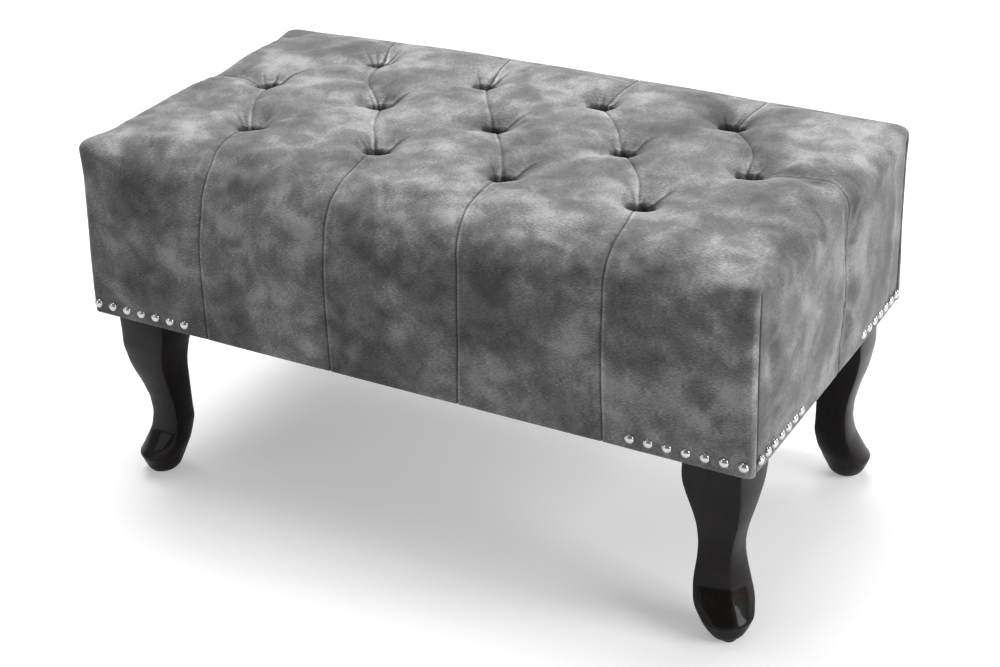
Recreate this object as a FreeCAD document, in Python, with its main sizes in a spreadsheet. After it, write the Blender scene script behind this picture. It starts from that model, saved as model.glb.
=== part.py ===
import FreeCAD, Part
import math
import os

from FreeCAD import Rotation, Vector

# A tufted, upholstered bench on four cabriole legs.
# Millimetres. X runs along the bench, the front faces -Y, Z is up.
# The origin is on the floor, under the middle of the bench.

doc = FreeCAD.newDocument("tufted_bench")

# The driving sizes: alias, millimetres (or a count), and what it measures.
DRIVING = [
    ("length", 800, "overall length"),
    ("width", 420, "overall depth, front to back"),
    ("height", 430, "floor to the crown of the cushion"),
    ("hem_height", 220, "floor to the lower edge of the cover"),
    ("puff", 5, "how far a panel swells out past its seams"),
    ("hem_puff", 0.8, "the same at the hem, where the cover is pulled flat"),
    ("cloth", 1.5, "thickness of the velvet with its backing"),
    ("edge_round", 45, "radius of the cushion's upper edge along the front"),
    ("end_round", 14, "radius of its upper edge along the back and the ends"),
    ("corner_round", 14, "radius of the upright corners of the cover"),
    ("quilt", 32, "velvet and wadding above the foam, at a crown"),
    ("seam_gap", 1.6, "width of a pleat or seam line"),
    ("pleat_drop", 8, "how far a pleat lies below the crowns beside it"),
    ("tuft_drop", 20, "how far a pleat falls where it enters a tuft"),
    ("end_margin", 80, "end of the bench to the nearest tuft"),
    ("front_margin", 117, "front face to the front row of tufts"),
    ("back_margin", 85, "back face to the back row of tufts"),
    ("tuft_depth", 36, "crown to the bottom of a tuft"),
    ("tuft_radius", 12.5, "radius of the bottom of a tuft"),
    ("tuft_wall", 10, "straight part of a tuft, above its bottom"),
    ("button_size", 22, "diameter of a covered button"),
    ("button_thick", 7, "height of a covered button"),
    ("stem_size", 3, "diameter of the stem that the twine holds a button by"),
    ("stem_long", 6, "length of that stem"),
    ("twine_size", 2, "diameter of the tufting twine"),
    ("twine_tail", 16, "length of twine folded along the underside of the deck"),
    ("rail_thick", 20, "thickness of the frame rails"),
    ("rail_tall", 85, "height of the frame rails"),
    ("cross_tall", 45, "height of the two cross rails"),
    ("deck_thick", 12, "thickness of the plywood deck"),
    ("block_side", 60, "side of a corner block"),
    ("block_tall", 40, "height of a corner block"),
    ("block_cut", 22, "how much of a corner block's inner corner is sawn off"),
    ("screw_size", 4, "diameter of a corner block screw"),
    ("screw_head", 8, "diameter of its countersunk head"),
    ("screw_long", 45, "length of a corner block screw"),
    ("screw_aside", 22, "hanger bolt to the corner block screws beside it"),
    ("screw_rise", 20, "lower edge of the frame to those screws"),
    ("hem_lap", 22, "how far the cover turns under the frame"),
    ("dust_thick", 0.8, "thickness of the black cloth under the bench"),
    ("dust_margin", 10, "outer face of the frame to the edge of that cloth"),
    ("leg_inset", 48, "side face of the bench to the axis of a leg"),
    ("leg_top", 60, "side of the square top of a leg"),
    ("ankle", 34, "side of a leg at its thinnest"),
    ("foot", 43, "side of a leg's foot at its widest"),
    ("toe_reach", 27, "leg axis to the outer face of the toe"),
    ("ankle_lean", 4, "leg axis to the middle of the ankle, the other way"),
    ("sole_side", 20, "side of the flat sole under the toe"),
    ("glide_size", 17, "diameter of a floor glide"),
    ("glide_thick", 3, "thickness of a floor glide"),
    ("glide_pin", 2.4, "side of the pin of a floor glide"),
    ("pin_long", 12, "length of that pin"),
    ("bolt_size", 8, "diameter of the hanger bolt of a leg"),
    ("bolt_in_leg", 35, "depth of the hanger bolt in the leg"),
    ("nut_flange", 20, "side of a tee nut's square flange"),
    ("nut_thick", 1.5, "thickness of a tee nut's flange"),
    ("nut_barrel", 11, "diameter of a tee nut's barrel"),
    ("nut_deep", 10, "length of a tee nut's barrel"),
    ("nail_head", 11, "diameter of a decorative nail's dome"),
    ("nail_dome", 3.4, "height of a decorative nail's dome"),
    ("nail_shank", 1.6, "side of a nail's square shank"),
    ("nail_long", 16, "length of a nail's shank"),
    ("nail_rise", 12, "hem to the middle of the nails"),
    ("nail_first", 9, "corner to the first nail of the front or back"),
    ("nail_first_end", 20, "corner to the first nail of an end"),
    ("nail_pitch", 20, "nail to nail on the front and back"),
    ("nail_pitch_end", 17, "nail to nail on the ends"),
    ("nails_in_run", 7, "number of nails in each run"),
    ("staple_crown", 12, "width of a staple"),
    ("staple_wire", 1.2, "thickness of a deck or twine staple's wire"),
    ("staple_leg", 30, "length of a deck staple's legs"),
    ("staple_pitch", 200, "deck staple to deck staple along the front and back"),
    ("twine_staple_leg", 9, "length of a twine staple's legs"),
    ("tack_wire", 0.6, "thickness of an underside staple's wire"),
    ("tack_leg", 9, "length of an underside staple's legs"),
    ("tack_pitch", 160, "underside staple to underside staple"),
    ("seat_gap", 0.3, "clearance between a soft piece or a nail and its seat"),
    ("fit_gap", 0.1, "clearance round a pin, screw, staple or bolt"),
]

# Places that follow from the driving sizes.
DERIVED = [
    ("half_x", "=dims.length / 2"),
    ("half_y", "=dims.width / 2"),
    ("rail_x", "=half_x - dims.puff - dims.cloth"),
    ("rail_y", "=half_y - dims.puff - dims.cloth"),
    ("rail_z", "=dims.hem_height + dims.cloth"),
    ("deck_z", "=rail_z + dims.rail_tall"),
    ("foam_z", "=deck_z + dims.deck_thick"),
    ("foam_top", "=dims.height - dims.quilt"),
    ("foam_round", "=dims.edge_round - dims.puff - dims.cloth"),
    ("foam_end_round", "=dims.end_round - dims.puff - dims.cloth"),
    ("pitch", "=(dims.length - 2 * dims.end_margin) / 4"),
    ("front_row", "=dims.front_margin - half_y"),
    ("back_row", "=half_y - dims.back_margin"),
    ("middle_row", "=(front_row + back_row) / 2"),
    ("cross_x", "=0.75 * pitch"),
    ("pit_z", "=dims.height - dims.tuft_depth"),
    ("leg_x", "=half_x - dims.leg_inset"),
    ("leg_y", "=half_y - dims.leg_inset"),
    ("leg_z", "=dims.hem_height - dims.dust_thick"),
    ("block_z", "=rail_z + dims.block_tall"),
    ("nail_z", "=dims.hem_height + dims.nail_rise"),
]


def make_sheet(name, rows):
    """A sheet with one alias to a row; rows hold the alias, the value and maybe a note."""
    sheet = doc.addObject("Spreadsheet::Sheet", name)
    for number, row in enumerate(rows, 1):
        sheet.set(f"A{number}", row[0])
        sheet.set(f"B{number}", str(row[1]))
        sheet.setAlias(f"B{number}", row[0])
        if len(row) > 2:
            sheet.set(f"C{number}", row[2])
    doc.recompute()
    return sheet


dims = make_sheet("dims", DRIVING)
at = make_sheet("at", DERIVED)
pieces = []


def piece(item, label):
    """Marks an object as a finished sub-part of the bench and names it."""
    item.Label = label
    pieces.append(item)
    return item


def feature(name, shape):
    """An object that holds a shape worked out here."""
    item = doc.addObject("Part::Feature", name)
    item.Shape = shape
    return item


def box(name, size, corner):
    """A box whose sizes and lowest corner are expressions on the sheets."""
    item = doc.addObject("Part::Box", name)
    for prop, text in zip(("Length", "Width", "Height"), size):
        item.setExpression(prop, text)
    for axis, text in zip("xyz", corner):
        item.setExpression(".Placement.Base." + axis, text)
    return item


def cut(name, base, tool):
    """The base with the tool taken away."""
    item = doc.addObject("Part::Cut", name)
    item.Base = base
    item.Tool = tool
    item.Refine = False
    return item


def block(x0, x1, y0, y1, z0, z1):
    """A plain block between two corners."""
    return Part.makeBox(x1 - x0, y1 - y0, z1 - z0, Vector(x0, y0, z0))


def turned(rings, sides=10):
    """A small turned piece, given as rings of (radius, z), with flat sides to keep its facets few."""
    turn = 2 * math.pi / sides
    outlines = [[Vector(radius * math.cos(turn * i), radius * math.sin(turn * i), z) for i in range(sides)]
                for radius, z in rings]
    walls = [outlines[0], outlines[-1]]
    for lower, upper in zip(outlines, outlines[1:]):
        walls += [[lower[i - 1], lower[i], upper[i], upper[i - 1]] for i in range(sides)]
    return sewn([flat_face(wall) for wall in walls])


def flat_face(points):
    return Part.Face(Part.makePolygon(points + points[:1]))


def sewn(faces):
    """A solid from faces that meet edge to edge."""
    shell = Part.Shell(faces)
    shell.sewShape()
    return Part.Solid(shell)


def moved(shape, x, y, z, turn=0, tilt=0):
    """A copy tilted about Y, then turned about Z, then moved into place."""
    copy = shape.copy()
    spin = Rotation(Vector(0, 0, 1), turn).multiply(Rotation(Vector(0, 1, 0), tilt))
    copy.Placement = FreeCAD.Placement(Vector(x, y, z), spin)
    return copy


def arc(start, middle, end):
    return Part.Arc(start, middle, end).toShape()


def line(start, end):
    return Part.LineSegment(start, end).toShape()


def loft(wires):
    """A solid through closed outlines, with straight walls from one to the next."""
    faces = []
    for face in Part.makeLoft(wires, True, True).Faces:
        points = [vertex.Point for vertex in face.OuterWire.OrderedVertexes]
        straight = abs(sum(edge.Length for edge in face.Edges) - Part.makePolygon(points + points[:1]).Length) < 1e-6
        normal = (points[1] - points[0]).cross(points[2] - points[0])
        level = all(abs((point - points[0]).dot(normal)) < 1e-6 * normal.Length for point in points)
        faces.append(flat_face(points) if straight and level else face)
    return sewn(faces)


def mirrored(shape, flip_x, flip_y):
    """The shape, mirrored left to right, front to back, or both."""
    if flip_x:
        shape = shape.mirror(Vector(0, 0, 0), Vector(1, 0, 0))
    if flip_y:
        shape = shape.mirror(Vector(0, 0, 0), Vector(0, 1, 0))
    return shape


# Tufts: four in front, five in the middle and four behind, in diamonds.
outer_xs = [at.pitch * step for step in (-1.5, -0.5, 0.5, 1.5)]
middle_xs = [at.pitch * step for step in (-2, -1, 0, 1, 2)]
tufts = [(x, at.front_row) for x in outer_xs]
tufts += [(x, at.middle_row) for x in middle_xs]
tufts += [(x, at.back_row) for x in outer_xs]

half_gap = dims.seam_gap / 2
sunk = dims.cloth + 3  # how far a pillow reaches into the body of the cover
pillow_floor = at.foam_top + dims.cloth
body_top = pillow_floor + sunk


def diamond_pillow(x):
    """A diamond between four tufts, centred on x.

    Its sections are upright and parallel to one side of the diamond, and follow one another
    along the other side. Each is a flat base, two walls and an arc over the top.
    """
    centre = Vector(x, at.middle_row, 0)
    reach_y = at.back_row - at.middle_row
    side = Vector(at.pitch / 2, -reach_y, 0)
    along = Vector(at.pitch / 2, reach_y, 0)
    inner_radius = at.pitch * reach_y / (2 * side.Length)
    shrink = 1 - half_gap / inner_radius
    sections = []
    for share in (0, 0.2, 0.5, 0.8, 1):
        swell = math.sin(math.pi * share)
        edge = dims.height - dims.tuft_drop + (dims.tuft_drop - dims.pleat_drop) * swell
        crown = dims.height - dims.pleat_drop * (1 - swell)
        start = centre + (along * (share - 0.5) - side * 0.5) * shrink
        end = start + side * shrink
        sections.append(arched_section(start, end, Vector(0, 0, 1), pillow_floor, edge, crown))
    return loft(sections)


def arched_section(start, end, up, low, edge, crown):
    """A closed outline: a base line, two walls, and an arc from wall to wall that bulges along up."""
    middle = (start + end) * 0.5
    foot = [start + up * low, end + up * low]
    shoulder = [start + up * edge, end + up * edge]
    return Part.Wire([
        line(foot[0], foot[1]),
        line(foot[1], shoulder[1]),
        arc(shoulder[1], middle + up * crown, shoulder[0]),
        line(shoulder[0], foot[0]),
    ])


def edge_pillow(x0, x1, row_y, apex_y, edge_round):
    """A front panel: up the face between two seams, over the rounded edge, and back to one tuft."""
    left, right = x0 + half_gap, x1 - half_gap
    out = Vector(0, -1, 0)
    inside = at.half_y - dims.height + pillow_floor
    bend = dims.height - edge_round
    # The face: flat at the hem, where the cover is pulled tight, and swelling above it.
    face = []
    for z, swell in face_stations(bend):
        ends = Vector(left, 0, z), Vector(right, 0, z)
        face.append(arched_section(*ends, out, inside, at.half_y - swell, at.half_y))
    upright = loft(face)
    # The rounded edge: the topmost section, as far in as a core, swung back through a right angle.
    hinge = Vector(0, edge_round - at.half_y, bend)
    inmost = max(inside, 2 - hinge.y)
    section = arched_section(*ends, out, inmost, at.half_y - dims.puff, at.half_y)
    swung = [section.copy() for _ in range(4)]
    for step, section in enumerate(swung):
        section.rotate(hinge, Vector(-1, 0, 0), 30 * step)
    bent = loft(swung)
    core = block(left, right, hinge.y - 3, hinge.y + 3, bend - 3, bend + 3)
    # The top: on to the tufts, then narrowing to the tuft of the middle row.
    edge = dims.height - dims.puff
    ends = Vector(left, hinge.y, 0), Vector(right, hinge.y, 0)
    flat = Part.Face(arched_section(*ends, Vector(0, 0, 1), pillow_floor, edge, dims.height))
    flat = flat.extrude(Vector(0, row_y - hinge.y, 0))
    tip = []
    for share in (0, 0.45, 0.85):
        half = (right - left) / 2 * (1 - share)
        y = row_y + (apex_y - row_y) * share
        middle = (left + right) / 2
        ends = Vector(middle - half, y, 0), Vector(middle + half, y, 0)
        edge = dims.height - dims.puff - (dims.tuft_drop - dims.puff) * share ** 2
        crown = dims.height - dims.tuft_drop * share ** 3 + half / (right - left)
        tip.append(arched_section(*ends, Vector(0, 0, 1), pillow_floor, edge, min(crown, dims.height)))
    return [upright, bent, core, flat, loft(tip)]


def face_stations(bend):
    """Heights up a side face, each with the depth of the seams there."""
    tall = bend - dims.hem_height
    return [
        (dims.hem_height, dims.hem_puff),
        (dims.hem_height + 0.15 * tall, dims.hem_puff),
        (dims.hem_height + 0.55 * tall, dims.puff),
        (bend, dims.puff),
    ]


def corner_pillow(row_x, row_y, end_x, end_y, edge_round):
    """The front right corner: level outlines, stacked from the hem up and drawn in over the edge.

    row_x, row_y is the last tuft of the outer row and end_x, end_y that of the middle row. The
    radius of the front edge falls from edge_round at the seam to end_round at the corner.
    """
    bend = dims.height - edge_round
    levels = [(z, swell, 0) for z, swell in face_stations(bend)]
    for angle, pleat_in in ((35, 0), (55, 0), (72, 3), (90, 14)):
        levels.append((bend + edge_round * math.sin(math.radians(angle)), dims.puff, pleat_in))
    outlines = []
    for z, swell, pleat_in in levels:
        insets = drawn_in(z, edge_round), drawn_in(z, dims.end_round)
        outlines.append(corner_outline(row_x, row_y, end_x, end_y, z, swell, *insets, half_gap + pleat_in))
    return loft(outlines)


def drawn_in(z, radius):
    """How far a rounded upper edge stands in from its face at height z."""
    above = max(0, z - (dims.height - radius))
    return radius - math.sqrt(radius ** 2 - above ** 2)


def corner_outline(row_x, row_y, end_x, end_y, z, swell, seam_inset, inset, back_off):
    """One level outline of a corner: two bulging faces, the rounded corner, and three straight pleats."""
    radius = dims.corner_round + 0.3 * inset
    seam_face_y = seam_inset - at.half_y
    face_y = inset - at.half_y
    face_x = at.half_x - inset
    # The slanting pleat, moved aside by back_off, meets the two straight ones.
    slant = Vector(end_x - row_x, end_y - row_y, 0).normalize()
    aside = Vector(slant.y, -slant.x, 0) * back_off
    seam_x = row_x + back_off
    pleat_y = end_y - back_off
    low_run = (seam_x - row_x - aside.x) / slant.x
    low = Vector(seam_x, row_y + aside.y + slant.y * low_run, z)
    high_run = (pleat_y - row_y - aside.y) / slant.y
    high = Vector(row_x + aside.x + slant.x * high_run, pleat_y, z)
    # Each face bulges from its seam to the corner, where it runs straight.
    front_end = Vector(face_x - radius, face_y, z)
    side_end = Vector(face_x, face_y + radius, z)
    front_start = Vector(seam_x, seam_face_y + swell, z)
    side_start = Vector(face_x - swell, pleat_y, z)
    front_middle = (front_start + front_end) * 0.5 - Vector(0, swell / 4, 0)
    side_middle = Vector(face_x - swell / 4, (pleat_y + side_end.y) / 2, z)
    slope = radius * (1 - math.sqrt(0.5))
    corner_middle = Vector(face_x - slope, face_y + slope, z)
    return Part.Wire([
        arc(front_start, front_middle, front_end),
        arc(front_end, corner_middle, side_end),
        arc(side_end, side_middle, side_start),
        line(side_start, high),
        line(high, low),
        line(low, front_start),
    ])


def rounded_block(half_x, half_y, low, high):
    """A block about the Z axis, its upper edge rounded as the foam is: wide in front, little elsewhere.

    It is what two bars have in common: one runs along X and the other along Y.
    """
    long_bar = block(-half_x, half_x, -half_y, half_y, low, high)
    short_bar = long_bar.copy()
    for edge in long_bar.Edges:
        middle = edge.CenterOfMass
        if middle.z > high - 0.01 and abs(middle.y) > half_y - 0.01:
            radius = at.foam_round if middle.y < 0 else at.foam_end_round
            long_bar = fillet_at(long_bar, middle, radius)
        if middle.z > high - 0.01 and abs(middle.x) > half_x - 0.01:
            short_bar = fillet_at(short_bar, middle, at.foam_end_round)
    return long_bar.common(short_bar)


def fillet_at(shape, middle, radius):
    """The shape with the straight edge that has this middle rounded."""
    return shape.makeFillet(radius, [edge for edge in shape.Edges if edge.CenterOfMass.isEqual(middle, 0.01)])


# The velvet cover: a body round the frame and foam, with fourteen pillows sewn and tufted out of it.
body_x = at.half_x - dims.puff
body_y = at.half_y - dims.puff
body = rounded_block(body_x, body_y, dims.hem_height, body_top)
pillows = [diamond_pillow(x + at.pitch / 2) for x in middle_xs[:-1]]
for back in (False, True):
    row = -at.back_row if back else at.front_row
    middle = -at.middle_row if back else at.middle_row
    edge_round = dims.end_round if back else dims.edge_round
    for x0, x1 in zip(outer_xs, outer_xs[1:]):
        pillows += [mirrored(part, False, back) for part in edge_pillow(x0, x1, row, middle, edge_round)]
    corner = corner_pillow(outer_xs[-1], row, middle_xs[-1], middle, edge_round)
    pillows += [mirrored(corner, left, back) for left in (False, True)]
cover_form = feature("cover_form", body.multiFuse(pillows))

# Its inside follows the frame, the deck and the foam; the lower edge turns in under the frame.
cavity = rounded_block(at.rail_x, at.rail_y, at.rail_z, at.foam_top)
mouth_x = body_x - dims.hem_lap
mouth_y = body_y - dims.hem_lap
mouth = block(-mouth_x, mouth_x, -mouth_y, mouth_y, dims.hem_height - 1, at.rail_z + 1)
cover_hollow = feature("cover_hollow", cavity.fuse(mouth))
cover_shell = cut("cover_shell", cover_form, cover_hollow)


def at_tufts(shape):
    """One copy of a shape at each tuft."""
    return [moved(shape, x, y, 0) for x, y in tufts]


# Each tuft is a pocket that dips into a cored hole of the foam, with a hole for the button's stem.
pocket_radius = dims.tuft_radius + dims.cloth
pocket = turned([(pocket_radius, at.pit_z - dims.cloth), (pocket_radius, pillow_floor)], 8)
stem_radius = dims.stem_size / 2
wall_top = at.pit_z + dims.tuft_wall
mouth_low = dims.height - dims.tuft_drop + 5
pit = turned([
    (dims.tuft_radius, at.pit_z),
    (dims.tuft_radius, wall_top),
    (dims.tuft_radius + 6, mouth_low),
    (dims.tuft_radius + 6 + 1.7 * (dims.height + 1 - mouth_low), dims.height + 1),
], 8)
stem_hole = turned([
    (stem_radius + dims.fit_gap, at.pit_z - dims.cloth - 1),
    (stem_radius + dims.fit_gap, at.pit_z + 1),
], 6)
cover_pockets = doc.addObject("Part::MultiFuse", "cover_pockets")
cover_pockets.Refine = False
cover_pockets.Shapes = [cover_shell, feature("pocket_walls", Part.makeCompound(at_tufts(pocket)))]
cover_pits = feature("cover_pits", Part.makeCompound(at_tufts(pit.fuse(stem_hole))))
cover_tufted = cut("cover_tufted", cover_pockets, cover_pits)


# Decorative nails: eight runs of domed nails, in from each corner along each side.
def nail():
    """A nail pointing down: a low dome with its base at z 0, on a square shank."""
    radius = dims.nail_head / 2
    rings = [(radius, 0), (0.8 * radius, 0.58 * dims.nail_dome), (0.35 * radius, dims.nail_dome)]
    dome = turned(rings, 8)
    side = dims.nail_shank / 2
    return dome.fuse(block(-side, side, -side, side, -dims.nail_long, 0.2))


def nail_hole():
    side = dims.nail_shank / 2 + dims.fit_gap
    return block(-side, side, -side, side, -dims.nail_long - dims.fit_gap, 2)


def nail_run(shape, side):
    """Copies of a shape at the nails of one side of the bench."""
    along_front = side in ("front", "back")
    pitch = dims.nail_pitch if along_front else dims.nail_pitch_end
    first = dims.nail_first if along_front else dims.nail_first_end
    half = at.half_x if along_front else at.half_y
    out = (at.half_y if along_front else at.half_x) + dims.seat_gap
    turn = {"right": 0, "back": 90, "left": 180, "front": 270}[side]
    copies = []
    for step in range(int(dims.nails_in_run)):
        for sign in (-1, 1):
            along = sign * (half - first - pitch * step)
            place = Rotation(Vector(0, 0, 1), turn).multVec(Vector(out, along, 0))
            copies.append(moved(shape, place.x, place.y, at.nail_z, turn, 90))
    return copies


sides = ("front", "back", "left", "right")
for side in sides:
    piece(feature("nails_" + side, Part.makeCompound(nail_run(nail(), side))), "nails_" + side)
nail_holes = [hole for side in sides for hole in nail_run(nail_hole(), side)]


def staple(crown, wire, leg, extra=0):
    """A staple pointing down, its crown along X with its top at z 0; extra makes the hole for one."""
    half = crown / 2 + extra
    thick = wire / 2 + extra
    shape = block(-half, half, -thick, thick, -wire - extra, extra)
    for sign in (-1, 1):
        centre = sign * (crown - wire) / 2
        shape = shape.fuse(block(centre - thick, centre + thick, -thick, thick, -leg - extra, -wire / 2))
    return shape.removeSplitter()


def deck_staple_spots():
    """Places and turns of the staples that hold the deck: over each rail."""
    rail_mid_y = at.rail_y - dims.rail_thick / 2
    rail_mid_x = at.rail_x - dims.rail_thick / 2
    spots = [(dims.staple_pitch * step, y, 0) for y in (-rail_mid_y, rail_mid_y)
             for step in (-1.5, -0.5, 0.5, 1.5)]
    return spots + [(x, 0, 90) for x in (-rail_mid_x, rail_mid_x)]


def deck_staples(extra):
    shape = staple(dims.staple_crown, dims.staple_wire, dims.staple_leg, extra)
    return [moved(shape, x, y, at.foam_z, turn) for x, y, turn in deck_staple_spots()]


piece(feature("deck_staples", Part.makeCompound(deck_staples(0))), "deck_staples")


# Underside staples: through the black cloth and the turned-in velvet into the rails, clear of the legs.
def tack_spots():
    mid_y = at.rail_y - dims.dust_margin - 5
    mid_x = at.rail_x - dims.dust_margin - 5
    spots = [(dims.tack_pitch * step, y, 0) for y in (-mid_y, mid_y) for step in (-1.5, -0.5, 0.5, 1.5)]
    return spots + [(x, 0, 90) for x in (-mid_x, mid_x)]


def tacks(extra):
    shape = staple(dims.staple_crown - 2, dims.tack_wire, dims.tack_leg, extra)
    upside_down = shape.mirror(Vector(0, 0, 0), Vector(0, 0, 1))
    return [moved(upside_down, x, y, at.leg_z, turn) for x, y, turn in tack_spots()]


piece(feature("underside_staples", Part.makeCompound(tacks(0))), "underside_staples")


# Screws through the rails into the corner blocks, their heads flush with the rails.
def screw(extra):
    """A countersunk screw pointing down, the face of its head at z 0."""
    head, shank = dims.screw_head / 2 + extra, dims.screw_size / 2 + extra
    neck = (dims.screw_size - dims.screw_head) / 2
    return turned([(shank, -dims.screw_long - extra), (shank, neck), (head, 0)], 8)


def block_screws(extra):
    shape = screw(extra)
    level = at.rail_z + dims.screw_rise
    near_x, near_y = at.leg_x - dims.screw_aside, at.leg_y - dims.screw_aside
    spots = [(at.rail_x, sign * near_y, 0) for sign in (-1, 1)]
    spots += [(-at.rail_x, sign * near_y, 180) for sign in (-1, 1)]
    spots += [(sign * near_x, at.rail_y, 90) for sign in (-1, 1)]
    spots += [(sign * near_x, -at.rail_y, 270) for sign in (-1, 1)]
    return [moved(shape, x, y, level, turn, 90) for x, y, turn in spots]


piece(feature("corner_block_screws", Part.makeCompound(block_screws(0))), "corner_block_screws")

# Everything that is driven into the frame, as holes.
gap = dims.fit_gap
driven = feature("driven_holes", Part.makeCompound(nail_holes + deck_staples(gap) + tacks(gap) + block_screws(gap)))

# The frame: long front and back rails, end rails between them, and two cross rails under the deck.
inner_span = "2 * (at.rail_y - dims.rail_thick)"
long_rail = ("2 * at.rail_x", "dims.rail_thick", "dims.rail_tall")
end_rail = ("dims.rail_thick", inner_span, "dims.rail_tall")
cross_rail = ("dims.rail_thick", inner_span, "dims.cross_tall")
inner_y = "dims.rail_thick - at.rail_y"
cross_z = "at.deck_z - dims.cross_tall"
rails = {
    "rail_front": (long_rail, ("-at.rail_x", "-at.rail_y", "at.rail_z")),
    "rail_back": (long_rail, ("-at.rail_x", "at.rail_y - dims.rail_thick", "at.rail_z")),
    "rail_left": (end_rail, ("-at.rail_x", inner_y, "at.rail_z")),
    "rail_right": (end_rail, ("at.rail_x - dims.rail_thick", inner_y, "at.rail_z")),
}
for name, (size, corner) in rails.items():
    piece(cut(name, box(name + "_blank", size, corner), driven), name)
cross_left = box("cross_rail_left", cross_rail, ("-at.cross_x - dims.rail_thick / 2", inner_y, cross_z))
cross_right = box("cross_rail_right", cross_rail, ("at.cross_x - dims.rail_thick / 2", inner_y, cross_z))
piece(cross_left, "cross_rail_left")
piece(cross_right, "cross_rail_right")


# Leg fixings: a hanger bolt up from each leg into a tee nut on top of its corner block.
def at_legs(shape):
    """A shape made at the front right leg, with its mirror images at the other three."""
    return [mirrored(shape, left, back) for back in (False, True) for left in (False, True)]


def upright_pin(size, low, high, extra=0):
    """A round pin on the axis of the front right leg."""
    shape = turned([(size / 2 + extra, low), (size / 2 + extra, high)])
    return moved(shape, at.leg_x, -at.leg_y, 0)


bolt_low = at.leg_z - dims.bolt_in_leg
bolt = upright_pin(dims.bolt_size, bolt_low, at.block_z)
bolt_hole = upright_pin(dims.bolt_size, bolt_low, at.block_z + 3, gap)
barrel = upright_pin(dims.nut_barrel, at.block_z - dims.nut_deep, at.block_z + 1)
barrel_hole = upright_pin(dims.nut_barrel, at.block_z - dims.nut_deep, at.block_z + 1, gap)
half_flange = dims.nut_flange / 2
flange = block(at.leg_x - half_flange, at.leg_x + half_flange, -at.leg_y - half_flange,
               -at.leg_y + half_flange, at.block_z, at.block_z + dims.nut_thick)
tee_nut = flange.fuse(barrel).cut(bolt_hole)
piece(feature("leg_hanger_bolts", Part.makeCompound(at_legs(bolt))), "leg_hanger_bolts")
piece(feature("leg_tee_nuts", Part.makeCompound(at_legs(tee_nut))), "leg_tee_nuts")

# Corner blocks: glued and screwed into each corner of the frame, the inner corner sawn off.
corner_x = at.rail_x - dims.rail_thick
corner_y = dims.rail_thick - at.rail_y
near_x = corner_x - dims.block_side
near_y = corner_y + dims.block_side
outline = Part.makePolygon([Vector(x, y, at.rail_z) for x, y in (
    (corner_x, corner_y),
    (corner_x, near_y),
    (near_x + dims.block_cut, near_y),
    (near_x, near_y - dims.block_cut),
    (near_x, corner_y),
    (corner_x, corner_y),
)])
corner_block = Part.Face(outline).extrude(Vector(0, 0, dims.block_tall))
corner_block = corner_block.cut(bolt_hole.fuse(barrel_hole)).cut(block_screws(gap))
corners = ("front_right", "front_left", "back_right", "back_left")
for corner, shape in zip(corners, at_legs(corner_block)):
    piece(feature("corner_block_" + corner, shape), "corner_block_" + corner)


# Cabriole legs: a square top, a knee that swells out to the corner, a slim ankle drawn in, and a toe.
# Such a leg is sawn from a square post: one profile is cut from the front and again from the side.
leg_tall = at.leg_z - dims.glide_thick
top = dims.leg_top / 2
thin = dims.ankle / 2
wide = dims.foot / 2
lean = dims.ankle_lean
toe = dims.toe_reach
outer_side = [  # share of the leg's height, and how far the outer side stands from the leg's axis
    (1.00, top),
    (0.86, 0.98 * top),
    (0.73, 0.92 * top),
    (0.61, 0.70 * top),
    (0.50, thin - 0.5 * lean),
    (0.40, thin - lean),
    (0.29, 1.08 * thin - 0.7 * lean),
    (0.19, 0.82 * toe),
    (0.11, toe),
    (0.05, 0.97 * toe),
    (0.00, toe - 0.15 * dims.sole_side),
]
inner_side = [  # the same for the inner side, towards the middle of the bench
    (1.00, top),
    (0.86, 0.96 * top),
    (0.72, 0.76 * top),
    (0.59, 0.94 * thin + 0.6 * lean),
    (0.45, thin + 0.8 * lean),
    (0.30, thin + lean),
    (0.20, 0.80 * wide),
    (0.12, 0.48 * wide),
    (0.05, 0.22 * wide),
    (0.00, dims.sole_side * 1.15 - toe),
]


def leg_side(stations, sign, pieces_of_curve=24):
    """One side of the sawn profile: a smooth curve through the stations, in short straight cuts."""
    curve = Part.BSplineCurve()
    points = [Vector(sign * reach, 0, dims.glide_thick + share * leg_tall) for share, reach in stations]
    curve.interpolate(points)
    return curve.discretize(pieces_of_curve + 1)


leg_points = leg_side(outer_side, 1) + leg_side(inner_side, -1)[::-1]
leg_profile = Part.Face(Part.makePolygon(leg_points + leg_points[:1]))
sawn = leg_profile.extrude(Vector(0, 2 * dims.leg_top, 0))
sawn.translate(Vector(0, -dims.leg_top, 0))
sawn_again = sawn.copy()
sawn_again.rotate(Vector(0, 0, 0), Vector(0, 0, 1), -90)
leg_blank = sawn.common(sawn_again)
leg_blank.translate(Vector(at.leg_x, -at.leg_y, 0))

# Floor glides: a low plastic disc under each toe, on a pin.
pin_side = dims.glide_pin / 2
glide_radius = dims.glide_size / 2
glide_disc = turned([(glide_radius - 1, 0), (glide_radius, 1), (glide_radius, dims.glide_thick)])
glide_pin = block(-pin_side, pin_side, -pin_side, pin_side, 1, dims.glide_thick + dims.pin_long)
pin_side += gap
pin_hole = block(-pin_side, pin_side, -pin_side, pin_side, 0, dims.glide_thick + dims.pin_long + gap)
sole_middle = toe - 0.65 * dims.sole_side
glide_x = at.leg_x + sole_middle
glide_y = -at.leg_y - sole_middle
glide = moved(glide_disc.fuse(glide_pin), glide_x, glide_y, 0)
piece(feature("leg_glides", Part.makeCompound(at_legs(glide))), "leg_glides")
leg = leg_blank.cut(bolt_hole).cut(moved(pin_hole, glide_x, glide_y, 0))
for corner, shape in zip(corners, at_legs(leg)):
    piece(feature("leg_" + corner, shape), "leg_" + corner)

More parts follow.
